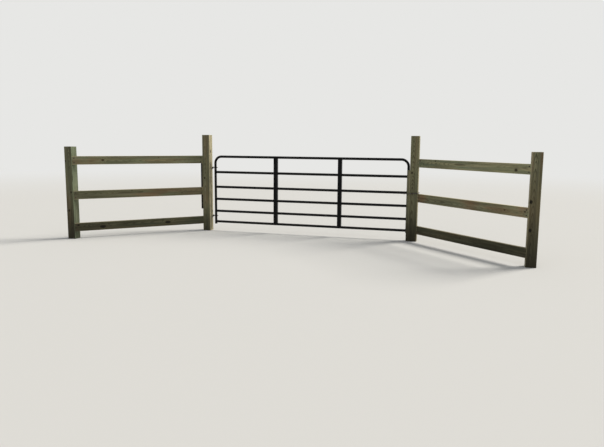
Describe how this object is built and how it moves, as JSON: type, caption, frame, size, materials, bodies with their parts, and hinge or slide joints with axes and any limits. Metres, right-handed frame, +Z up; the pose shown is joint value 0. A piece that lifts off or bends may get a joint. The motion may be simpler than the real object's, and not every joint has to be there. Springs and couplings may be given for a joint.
{
  "type": "field gate with post and rail wings",
  "caption": "Tubular steel field gate hung between square timber posts, with a splayed timber rail fence wing on each side.",
  "frame": {"origin": "middle of the hinge post's foot, on the ground", "axes": "+X along the closed gate to the latch post, +Y to the side that the leaf opens to, +Z up"},
  "size_m": [7.4232, 1.7613, 1.77],
  "materials": {
    "treated_timber": "weathered pressure-treated softwood",
    "black_paint": "semi-gloss powder coat",
    "worn_steel": "dull zinc with light rust"
  },
  "bodies": {
    "posts": {"left_outer_post": "treated_timber", "hinge_post": "treated_timber", "latch_post": "treated_timber", "right_outer_post": "treated_timber", "left_top_rail": "treated_timber", "left_middle_rail": "treated_timber", "left_bottom_rail": "treated_timber", "right_top_rail": "treated_timber", "right_middle_rail": "treated_timber", "right_bottom_rail": "treated_timber", "stop_board": "treated_timber", "latch_chain": "worn_steel", "side_bar": "black_paint", "upper_hook": "black_paint", "lower_hook": "black_paint"},
    "leaf": {"hinge_stile": "black_paint", "top_tube": "black_paint", "latch_stile": "black_paint", "second_tube": "black_paint", "third_tube": "black_paint", "fourth_tube": "black_paint", "fifth_tube": "black_paint", "bottom_tube": "black_paint", "left_brace": "black_paint", "right_brace": "black_paint", "upper_eye_bolt": "worn_steel", "lower_eye_bolt": "worn_steel", "hinge_nuts": "worn_steel"}
  },
  "joints": [
    {"name": "gate_swing", "type": "hinge", "parent": "posts", "child": "leaf", "pos_m": [0.092, 0.047, 0.273], "axis": [0, 0, 1], "range_deg": [0, 100]}
  ]
}
